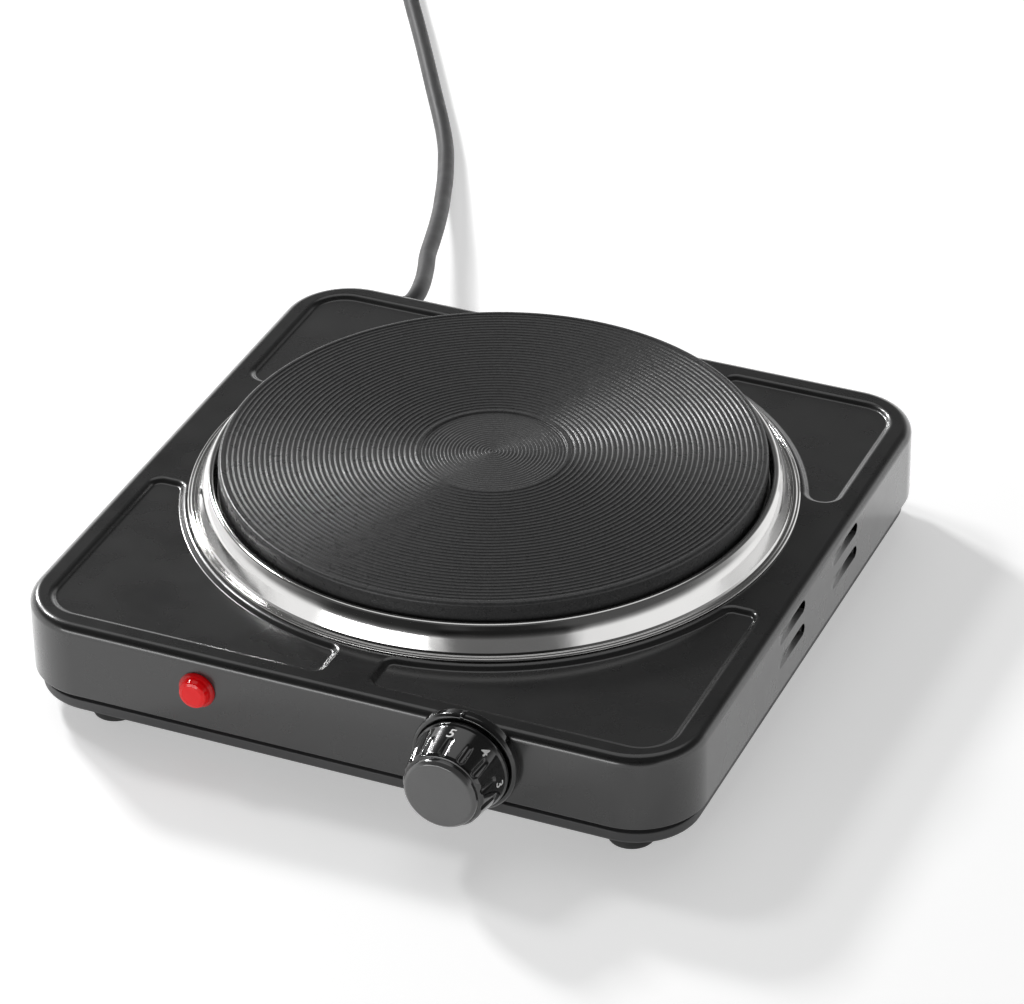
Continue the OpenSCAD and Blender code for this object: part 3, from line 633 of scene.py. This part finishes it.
def louvre(skin, sign, y, z):
    """A pressed pocket that deepens towards the back, where its end is open. Returns the loops on both faces."""
    outline = stadium(y, z, LOUVRE_L, LOUVRE_H)
    place = wall_place("x", sign)

    def depth(p):
        return LOUVRE_SHALLOW + LOUVRE_DEEPER * ease(p.x, y - LOUVRE_L / 2, y + LOUVRE_L / 2)

    def skin_rows(section):
        rows = []
        for k, (q, m) in enumerate(section):
            row = []
            for p, n in outline:
                inner = p + n * q.x
                row.append(skin.add(place(inner, q.y * depth(p) if k else q.y), (sign, 0, 0) if k == 0 else None))
            rows.append(row)
        return rows

    outer = skin_rows(fillet([(0, 0), (-0.3, 0, 0.28), (-1.3, -1, 0.6), (-2.0, -1)], arc_step=15))
    inner = []
    for k, row in enumerate(outer):
        inner.append([skin.add(skin.points[i] - Vector((sign * SHEET, 0, 0)), (-sign, 0, 0) if k == 0 else None)
                      for i in row])
    tip = [i for i, (p, n) in enumerate(outline) if p.x > y + LOUVRE_L / 2 - LOUVRE_MOUTH]
    count = len(outline)
    opening = set(i for i in tip if (i + 1) % count in tip)
    for rows, flip in ((outer, sign < 0), (inner, sign > 0)):
        for k, (a, b) in enumerate(zip(rows, rows[1:])):
            for i in range(count):
                if k >= 2 and i in opening:
                    continue
                j = (i + 1) % count
                face = (a[i], a[j], b[j], b[i])
                skin.faces.append(face[::-1] if flip else face)
        facing = (sign, 0, 0) if rows is outer else (-sign, 0, 0)
        skin.fill([rows[-1]], facing)
    return outer[0], inner[0]


def make_housing():
    """The pressed cover, one sheet thick: walls with their holes and louvres, and a top with four sunk panels."""
    skin = Skin()
    outline = rounded_square(half, CORNER_R)
    lip = 0.45
    outer_section = fillet([(-EDGE_R - 0.6, top), (0, top, EDGE_R), (0, hem, lip), (-SHEET / 2, hem)], arc_step=9)
    inner_section = fillet([(-SHEET / 2, hem), (-SHEET, hem, lip), (-SHEET, top - SHEET, EDGE_R - SHEET),
                            (-EDGE_R - 0.6, top - SHEET)], arc_step=9)
    body = sweep(skin, outline, outer_section + inner_section[1:], on_top)
    split = len(outer_section)
    straight = [i for i in range(len(outline))
                if (outline[(i + 1) % len(outline)][0] - outline[i][0]).length > 50]
    walls = []
    for k, (a, b) in enumerate(zip(body, body[1:])):
        z_a, z_b = skin.points[a[0]].z, skin.points[b[0]].z
        tall = abs(z_a - z_b) > 10
        for i in range(len(outline)):
            j = (i + 1) % len(outline)
            if tall and i in straight:
                walls.append((k < split, a[i], a[j], b[j], b[i]))
            else:
                skin.faces.append((a[i], b[i], b[j], a[j]))
    holes = {("y", -1): [circle(knob_x, knob_z, KNOB_HOLE_R), circle(lamp_x, lamp_z, LAMP_HOLE_R)],
             ("y", 1): [circle(cord_x, cord_z, CORD_HOLE_R)]}
    loops = {}
    for (axis, sign), outlines in holes.items():
        for o in outlines:
            place = wall_place(axis, sign)
            normal = Vector((0, sign, 0))
            out = [skin.add(place(p, 0), normal) for p, n in o]
            inn = [skin.add(place(p, -SHEET), -normal) for p, n in o]
            skin.strip(out, inn)
            loops.setdefault((axis, sign, True), []).append(out)
            loops.setdefault((axis, sign, False), []).append(inn)
    for sign in (-1, 1):
        for y in LOUVRE_Y:
            for z in LOUVRE_Z:
                out, inn = louvre(skin, sign, y, z)
                loops.setdefault(("x", sign, True), []).append(out)
                loops.setdefault(("x", sign, False), []).append(inn)
    for is_outer, *quad in walls:
        centre = sum((skin.points[i] for i in quad), Vector()) / 4
        axis = "x" if abs(centre.x) > abs(centre.y) else "y"
        sign = 1 if getattr(centre, axis) > 0 else -1
        facing = Vector((sign, 0, 0)) if axis == "x" else Vector((0, sign, 0))
        skin.fill([quad, *loops.get((axis, sign, is_outer), [])], facing if is_outer else -facing)
    # top: flat land with four pressed panels and the plate's hole
    pressed = top - PANEL_DEPTH
    press = fillet([(1.2, top), (-0.1, top, 2.6), (-1.6, pressed, 1.2), (-2.3, pressed)], arc_step=4)
    under = fillet([(1.0, top - SHEET), (-0.3, top - SHEET, 1.6), (-1.8, pressed - SHEET, 1.0),
                    (-2.3, pressed - SHEET)], arc_step=8)
    upper, lower = [body[0]], [body[-1]]
    for side in (-1, 1):
        for end in (-1, 1):
            o = panel_outline(side, end)
            rows = sweep(skin, o, [(q, -m) for q, m in press], on_top)
            skin.rows(rows)
            upper.append(rows[0])
            skin.fill([rows[-1]], (0, 0, 1))
            rows = sweep(skin, o, under, on_top)
            for a, b in zip(rows, rows[1:]):
                skin.strip(b, a)
            lower.append(rows[0])
            skin.fill([rows[-1]], (0, 0, -1))
    hole = circle(0, plate_y, PLATE_HOLE_R, 180)
    up = [skin.add((p.x, p.y, top), (0, 0, 1)) for p, n in hole]
    down = [skin.add((p.x, p.y, top - SHEET), (0, 0, -1)) for p, n in hole]
    skin.strip(up, down)
    skin.fill([*upper, up], (0, 0, 1))
    skin.fill([*lower, down], (0, 0, -1))
    return skin.build("housing_shell", FINISHES["black_steel"], replaces=["top_cover"])


make_housing()


def make_base():
    """The tray under the housing: its wall steps inwards just below the hem, and bosses rise to the brackets."""
    skin = Skin()
    low, sheet_top, rim = base_bottom, base_bottom + SHEET, base_bottom + RIM_H
    boss_top = base_high.z / MM
    outline = rounded_square(base_half, CORNER_R - (half - base_half))
    section = fillet([
        (-6, sheet_top), (-1, sheet_top, 0.6), (-1, STEP_Z - 0.9, 0.4), (-2.5, STEP_Z - 0.4, 0.3), (-2.5, rim, 0.3),
        (-1.5, rim, 0.3), (-1.5, STEP_Z + 0.5, 0.3), (0, STEP_Z, 0.5), (0, low, 1.6), (-6, low)], arc_step=12)
    rows = sweep(skin, outline, section, on_top)
    for a, b in zip(rows, rows[1:]):
        skin.strip(b, a)
    below, above = [rows[-1]], [rows[0]]

    def loop(outline, z, up):
        return [skin.add((p.x, p.y, z), (0, 0, up)) for p, n in outline]

    def hole(outline):
        under, over = loop(outline, low, -1), loop(outline, sheet_top, 1)
        skin.strip(under, over)
        below.append(under)
        above.append(over)

    for x, y in FOOT_HOLES:
        hole(circle(x, y, FOOT_HOLE_R, 32))
    for x in SLOT_X:
        for y in SLOT_Y:
            hole([(Vector((x + p.y, y + p.x)), n) for p, n in stadium(0, 0, SLOT_L, SLOT_W)][::-1])
    boss_roof = boss_top - BOSS_FLOOR
    for x in BOSS_X:
        for y in BOSS_Y:
            wall_out, wall_in, bore = (circle(x, y, r, 32) for r in (BOSS_R, BOSS_R - SHEET, BOSS_BORE_R))
            foot, crown = loop(wall_out, sheet_top, 1), loop(wall_out, boss_top, 1)
            mouth, roof = loop(wall_in, low, -1), loop(wall_in, boss_roof, -1)
            over, under = loop(bore, boss_top, 1), loop(bore, boss_roof, -1)
            skin.strip(foot, crown)
            skin.strip(roof, mouth)
            skin.strip(over, under)
            skin.fill([crown, over], (0, 0, 1))
            skin.fill([roof, under], (0, 0, -1))
            below.append(mouth)
            above.append(foot)
    skin.fill(below, (0, 0, -1))
    skin.fill(above, (0, 0, 1))
    return skin.build("base_tray_pressed", FINISHES["base_steel"], replaces=["base_tray"])


make_base()

# ---- trim ring, cooking plate ----
def on_plate(height=0.0):
    return Matrix.Translation(Vector((0, plate_y, height)) * MM)


def make_ring():
    """Two small beads at the foot, a convex face, a lip in towards the plate and the sheet's underside."""
    r, h = ring_r, top
    section = fillet([
        (r - 0.1, h, 0), (r, h + 0.6, 0.25), (r - 0.5, h + 1.1, 0.35), (r - 1.0, h + 0.85, 0.15),
        (r - 1.6, h + 1.35, 0.45), (r - 2.4, h + 0.8, 0.25), (r - 3.0, h + 1.6, 0.5), (r - 5.3, h + 7.0, 11.0),
        (r - 7.6, h + 9.8, 1.5), (r - 9.2, h + 9.5, 0.7), (r - 9.3, h + 5.6, 2), (r - 9.9, h + 3.7, 0.6),
        (r - 12.7, h + 3.5, 0.2), (r - 12.7, h + 2.9, 0.2), (r - 9.4, h + 3.0, 0.8), (r - 8.2, h + 8.2, 0.5),
        (r - 6.2, h + 6.0, 2.0), (r - 4.2, h + 0.9, 0.5), (r - 1.0, h, 0.1)], closed=True, arc_step=8)
    section.append(section[0])
    lathe("trim_ring_polished", section, 288, FINISHES["stainless"], on_plate(), replaces=["trim_ring"])


def make_plate():
    """The casting: turned grooves with round lands, a finer turned middle disc and a round edge."""
    pitch = GROOVE_PITCH
    section = []

    def surface(r):
        if r < DISC_R - 0.5:
            return plate_top - 0.45 - DISC_DEPTH * (1 - math.cos(2 * math.pi * r / DISC_PITCH))
        if r < DISC_R:
            return plate_top - 0.5 * ease(DISC_R - r, 0, 0.5)
        first, last = DISC_R + 0.9, plate_r - 2.2
        if first < r < last:
            off_ridge = abs((r - first + pitch / 2) % pitch - pitch / 2)
            return plate_top - GROOVE_DEPTH * ease(off_ridge, 0.02, 0.58)
        return plate_top

    r = 0.0
    while r < plate_r - 1.7:
        section.append((r, surface(r)))
        r += DISC_PITCH / 8 if r < DISC_R else pitch / 12
    edge = fillet([(plate_r - 1.7, plate_top), (plate_r - 0.2, plate_top, 1.3), (plate_r, plate_top - 8.5, 0.5),
                   (plate_r - 0.2, top + 3.7, 0.3), (plate_r - 2.5, top + 3.7, 0.3), (plate_r - 2.8, top + 1.4, 0.3),
                   (12, top + 1.4)], arc_step=12)
    points = [(Vector(p), None) for p in section]
    for i, (p, n) in enumerate(points):
        a, b = points[max(i - 1, 0)][0], points[min(i + 1, len(points) - 1)][0]
        t = (b - a).normalized()
        points[i] = (p, Vector((-t.y, t.x)))
    body = points + edge
    body.append((Vector((0, top + 1.4)), Vector((0, -1))))
    lathe("cast_iron_plate", body, 300, FINISHES["cast_iron"], on_plate(), replaces=["cooking_plate"])


make_ring()
make_plate()


# ---- knob ----
def on_front(x, z):
    """Local Z runs out of the front wall."""
    return Matrix.Translation(Vector((x, front, z)) * MM) @ Matrix.Rotation(math.pi / 2, 4, "X")


FLUTES = 14
FLUTE_R = 1.5
FLUTE_SLOPE = math.tan(math.radians(14))
POINTER_H = 0.35


def make_knob():
    """A cone with round-ended flutes under a plain cap."""
    reach = knob_front
    section = fillet([
        (0, reach), (11.2, reach, 1.2), (12.3, reach - 0.9, 1.0), (12.5, reach - 2.3, 0.1),
        (12.35, reach - 2.55, 0.08), (13.0, reach - 2.75, 0.4), (13.7, reach - 3.6, 0.5),
        (15.6, 6.6, 0.3), (16.1, 5.9, 0.25), (16.1, 4.8, 0.25),
        (15, 4.8, 0.2), (14, 6.8, 0.3), (10.8, 17.5, 0.5), (10.2, 18.8, 0.3), (5.4, 18.8, 0.3), (5.4, 7.4, 0.3),
        (3.1, 7.4, 0.3), (3.1, 17.2), (0, 17.2)], arc_step=15)
    section = densify(section, 0.45)
    low_z, high_z = reach - 10.8, reach - 3.0
    end_z = high_z - FLUTE_R

    def radius(r, z, a):
        if r < 12.8 or not low_z < z < high_z:
            return r
        centre = 13.9 + (high_z - z) * FLUTE_SLOPE
        size = FLUTE_R if z < end_z else math.sqrt(max(0, FLUTE_R ** 2 - (z - end_z) ** 2))
        turn = (math.degrees(a) - 90) * FLUTES % 360
        off = centre * math.sin(math.radians(min(turn, 360 - turn) / FLUTES))
        if off >= size:
            return r
        cut = math.sqrt(centre ** 2 - off ** 2) - math.sqrt(size ** 2 - off ** 2)
        blend = max(0, 1 - abs(r - cut) / 0.16)
        return min(r, cut) - 0.04 * blend ** 2

    lathe("control_knob", section, FLUTES * 32, FINISHES["black_plastic"],
          on_front(knob_x, knob_z), body="control", replaces=["knob"], radius=radius)


def densify(section, step):
    """The same section with its long edges split into pieces of about step."""
    out = [section[0]]
    for (a, m), (b, n) in zip(section, section[1:]):
        k = max(1, math.ceil((b - a).length / step))
        out += [(a.lerp(b, i / k), m.lerp(n, i / k).normalized()) for i in range(1, k + 1)]
    return out


def make_bezel():
    """The collar behind the knob."""
    section = fillet([
        (14.5, 0, 0), (14.5, 2.8, 0.3), (16.2, 3.1, 0.2), (16.45, 3.8, 0.25), (17.1, 3.8, 0.4), (17.65, 3.4, 0.4),
        (18, 2.7, 0.4), (18, 0, 0)], closed=True, arc_step=15)
    section.append(section[0])
    section = densify(section, 0.5)

    def radius(r, z, a):
        """A pointer rib at the top."""
        across = r * abs(math.degrees(a) - 90) * math.pi / 180
        return r + POINTER_H * (1 - ease(across, 0.35, 0.75)) * ease(z, 0.4, 1.4) if r > 16.6 else r

    lathe("knob_surround", section, 480, FINISHES["black_plastic"], on_front(knob_x, knob_z),
          replaces=["knob_bezel"], radius=radius)


make_knob()
make_bezel()


NUMERALS = (("5", -4.5), ("4", 42.2), ("3", 88.9), ("2", 135.6), ("1", 182.3), ("0", 229.0))
NUMERAL_SIZE, NUMERAL_SLANT, NUMERAL_PLACE = 5.2, 0.15, 0.26


def make_numerals():
    """Generic setting numbers round the knob's cone, reading with their tops towards the housing."""
    cone_low, cone_high = Vector((15.6, 6.6)), Vector((13.7, knob_front - 3.6))
    along = (cone_high - cone_low).normalized()
    outward = Vector((along.y, -along.x))
    for label, clock in NUMERALS:
        text = bpy.data.curves.new("setting_" + label, "FONT")
        text.body = label
        text.size = NUMERAL_SIZE
        text.shear = NUMERAL_SLANT
        text.align_x = "CENTER"
        text.align_y = "CENTER"
        text.extrude = 0.02
        text.resolution_u = 6
        text.offset = 0.04
        holder = bpy.data.objects.new("setting", text)
        bpy.context.scene.collection.objects.link(holder)
        mesh = bpy.data.meshes.new_from_object(holder)
        bpy.data.objects.remove(holder)
        bm = bmesh.new()
        bm.from_mesh(mesh)
        bmesh.ops.subdivide_edges(bm, edges=[e for e in bm.edges if e.calc_length() > 0.5], cuts=3)
        for v in bm.verts:
            flat = cone_low.lerp(cone_high, NUMERAL_PLACE) - along * v.co.y + outward * (0.03 + v.co.z)
            a = math.radians(clock) + v.co.x / flat.x
            v.co = Vector((knob_x + flat.x * math.sin(a), front - flat.y, knob_z + flat.x * math.cos(a))) * MM
        bm.to_mesh(mesh)
        bm.free()
        mesh.name = "setting_" + label
        finish_piece("setting_" + label, mesh, INK, body="control")


make_numerals()


def make_lens():
    """A domed cap with a flange on the wall and a hollow barrel through it."""
    section = fillet([
        (0, 4.3), (3.6, 4.2, 0.4), (4.7, 3.7, 0.6), (5.2, 2.4, 0.5), (5.35, 1.5, 0.2), (6.0, 1.1, 0.3),
        (6.3, 0.7, 0.3), (6.3, 0.02, 0.05), (4.6, 0.02, 0.05), (4.6, -13, 0.2), (3.7, -13, 0.2),
        (3.7, 2.6, 0.4), (0, 3)], arc_step=15)
    lathe("pilot_lens", section, 96, FINISHES["red_lens"], on_front(lamp_x, lamp_z),
          replaces=["lamp_lens"])


make_lens()


# ---- studio ----
FLOOR_REACH, FLOOR_DROP, FLOOR_GLOW = 6, 0.0003, 0.41
SHEET_TOWARD = (-0.12, 0.34, 0.93)
LEFT_CARD_TOWARD = (-0.30, -0.85, 0.5)
RIGHT_CARD_TOWARD = (0.45, -0.85, 0.42)
SKY_STRENGTH = 1.2
# how high on the sphere, from 0 at the horizon to 1 overhead, and how bright
SKY = ((0.0, 1.0), (0.2, 0.92), (0.38, 0.26), (0.52, 0.085), (1.0, 0.07))


def make_floor():
    mesh = bpy.data.meshes.new("floor")
    bm = bmesh.new()
    bmesh.ops.create_grid(bm, x_segments=1, y_segments=1, size=FLOOR_REACH)
    bm.to_mesh(mesh)
    bm.free()
    floor = bpy.data.objects.new("floor", mesh)
    floor.location.z = -FLOOR_DROP
    bpy.context.scene.collection.objects.link(floor)
    f = Finish("pale_floor", (0.86, 0.86, 0.86), 0.6)
    f.set("Specular IOR Level", 0.2)
    f.set("Emission Color", (1, 1, 1, 1))
    f.set("Emission Strength", FLOOR_GLOW)
    f.tint(f.remap(f.noise(2), 0, 1), (0.85, 0.85, 0.85))
    mesh.materials.append(f.material)


def area(name, direction, distance, size, power):
    """A soft light that faces the origin."""
    light = bpy.data.lights.new(name, "AREA")
    light.shape = "RECTANGLE"
    light.size, light.size_y = size
    light.energy = power
    holder = bpy.data.objects.new(name, light)
    back = Vector(direction).normalized()
    holder.matrix_world = Matrix.Translation(back * distance) @ back.to_track_quat("Z", "Y").to_matrix().to_4x4()
    bpy.context.scene.collection.objects.link(holder)


def make_sky():
    """A pale horizon under a dim sky, a pale sheet high up behind and two dark cards in front of the hot plate."""
    world = bpy.data.worlds.new("studio")
    world.use_nodes = True
    tree = world.node_tree
    where = tree.nodes.new("ShaderNodeTexCoord").outputs["Generated"]
    split = tree.nodes.new("ShaderNodeSeparateXYZ")
    tree.links.new(where, split.inputs[0])
    ramp = tree.nodes.new("ShaderNodeValToRGB")
    while len(ramp.color_ramp.elements) < len(SKY):
        ramp.color_ramp.elements.new(0.5)
    for element, (height, value) in zip(ramp.color_ramp.elements, SKY):
        element.position = height
        element.color = (value, value, value, 1)
    tree.links.new(split.outputs["Z"], ramp.inputs["Fac"])

    def patch(direction, start, end, low, high):
        """Low away from a direction and high near it; start and end are cosines of the angle to it."""
        toward = tree.nodes.new("ShaderNodeVectorMath")
        toward.operation = "DOT_PRODUCT"
        toward.inputs[1].default_value = Vector(direction).normalized()
        tree.links.new(where, toward.inputs[0])
        made = tree.nodes.new("ShaderNodeMapRange")
        made.interpolation_type = "SMOOTHSTEP"
        for socket, number in (("From Min", start), ("From Max", end), ("To Min", low), ("To Max", high)):
            made.inputs[socket].default_value = number
        tree.links.new(toward.outputs["Value"], made.inputs["Value"])
        return made.outputs["Result"]

    backdrop = tree.nodes["Background"]
    sheet = tree.nodes.new("ShaderNodeMix")
    sheet.data_type = "RGBA"
    sheet.inputs["B"].default_value = (0.75, 0.75, 0.75, 1)
    tree.links.new(patch(SHEET_TOWARD, 0.90, 0.96, 0, 1), sheet.inputs["Factor"])
    tree.links.new(ramp.outputs["Color"], sheet.inputs["A"])
    tree.links.new(sheet.outputs["Result"], backdrop.inputs["Color"])
    cards = tree.nodes.new("ShaderNodeMath")
    cards.operation = "MULTIPLY"
    tree.links.new(patch(LEFT_CARD_TOWARD, 0.88, 0.95, SKY_STRENGTH, 0.35), cards.inputs[0])
    tree.links.new(patch(RIGHT_CARD_TOWARD, 0.86, 0.94, 1, 0.16), cards.inputs[1])
    tree.links.new(cards.outputs["Value"], backdrop.inputs["Strength"])
    bpy.context.scene.world = world


# name, direction, distance and size in metres, power in watts
LIGHTS = (
    ("key_low", (-1.475, 0.9, 1.0), 2.0, (0.22, 0.22), 24),
    ("key_high", (-0.95, 0.3, 1.0), 2.0, (0.3, 0.3), 9),
    ("front_strip", (-0.338, -0.937, 0.15), 1.9, (1.3, 0.4), 7),
)


def make_light():
    make_sky()
    for light in LIGHTS:
        area(*light)
    scene = bpy.context.scene
    scene.view_settings.view_transform = "Standard"
    scene.view_settings.look = "None"


make_floor()
make_light()
